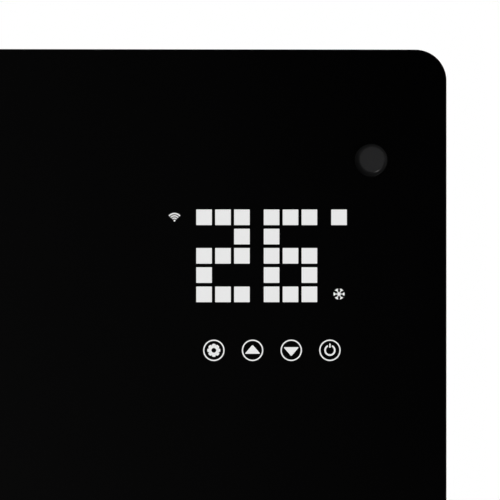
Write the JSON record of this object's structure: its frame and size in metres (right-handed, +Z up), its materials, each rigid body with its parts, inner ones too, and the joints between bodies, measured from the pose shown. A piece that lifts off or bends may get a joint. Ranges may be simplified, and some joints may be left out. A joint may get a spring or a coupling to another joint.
{
  "type": "infrared panel heater",
  "caption": "Black glass infrared panel heater with a pixel readout and touch keys, held by round caps on a steel casing that stands on two arched feet.",
  "frame": {"origin": "on the floor, under the middle of the heater", "axes": "+X to the right seen from the front, +Y to the rear (the glass faces -Y), +Z up"},
  "size_m": [1, 0.25, 0.56],
  "materials": {
    "black_glass": "polished, black enamel behind",
    "cap_metal": "satin black anodised",
    "silicone": "matt",
    "zinc_steel": "bright zinc plate",
    "powder_coat": "fine-textured black powder coat",
    "heating_film": "carbon film laminate",
    "foil_board": "foil-faced board",
    "dark_plastic": "fine spark-eroded grain",
    "white_plastic": "satin white",
    "circuit_board": "green solder mask",
    "spring_steel": "gold flash",
    "wire": "silicone sleeve",
    "rubber": "matt"
  },
  "bodies": {
    "heater": {"glass_panel": "black_glass", "glass_cap_top_left": "cap_metal", "glass_cap_top_right": "cap_metal", "glass_cap_bottom_left": "cap_metal", "glass_cap_bottom_right": "cap_metal", "glass_bush_top_left": "silicone", "glass_bush_top_right": "silicone", "glass_bush_bottom_left": "silicone", "glass_bush_bottom_right": "silicone", "glass_spacer_top_left": "zinc_steel", "glass_spacer_top_right": "zinc_steel", "glass_spacer_bottom_left": "zinc_steel", "glass_spacer_bottom_right": "zinc_steel", "glass_screw_top_left": "zinc_steel", "glass_screw_top_right": "zinc_steel", "glass_screw_bottom_left": "zinc_steel", "glass_screw_bottom_right": "zinc_steel", "heating_film": "heating_film", "insulation_board": "foil_board", "bay_wall": "zinc_steel", "overheat_cutout": "dark_plastic", "display_diffuser": "white_plastic", "display_light_wells": "white_plastic", "display_board": "circuit_board", "touch_spring_1": "spring_steel", "touch_spring_2": "spring_steel", "touch_spring_3": "spring_steel", "touch_spring_4": "spring_steel", "radio_module": "zinc_steel", "tip_over_switch": "dark_plastic", "air_sensor": "white_plastic", "rear_casing": "powder_coat", "rear_cover": "dark_plastic", "cover_screw_top_left": "zinc_steel", "cover_screw_top_right": "zinc_steel", "cover_screw_bottom_left": "zinc_steel", "cover_screw_bottom_right": "zinc_steel", "power_board": "circuit_board", "heater_relay": "dark_plastic", "transformer": "dark_plastic", "terminal_block": "white_plastic", "switch_frame": "dark_plastic", "cable_gland": "dark_plastic", "gland_lock_nut": "zinc_steel", "film_lead_lower": "wire", "film_lead_upper": "wire", "switch_lead": "wire", "display_cable": "wire", "foot_left": "powder_coat", "foot_right": "powder_coat", "foot_pad_left_front": "rubber", "foot_pad_left_rear": "rubber", "foot_pad_right_front": "rubber", "foot_pad_right_rear": "rubber", "foot_screw_left_lower": "zinc_steel", "foot_screw_left_upper": "zinc_steel", "foot_screw_right_lower": "zinc_steel", "foot_screw_right_upper": "zinc_steel"},
    "rocker": {"switch_rocker": "dark_plastic"}
  },
  "joints": [
    {"name": "rocker_tilt", "type": "hinge", "parent": "heater", "child": "rocker", "pos_m": [0.384, 0.0336, 0.1686], "axis": [-1, 0, 0], "range_deg": [0, 20]}
  ]
}
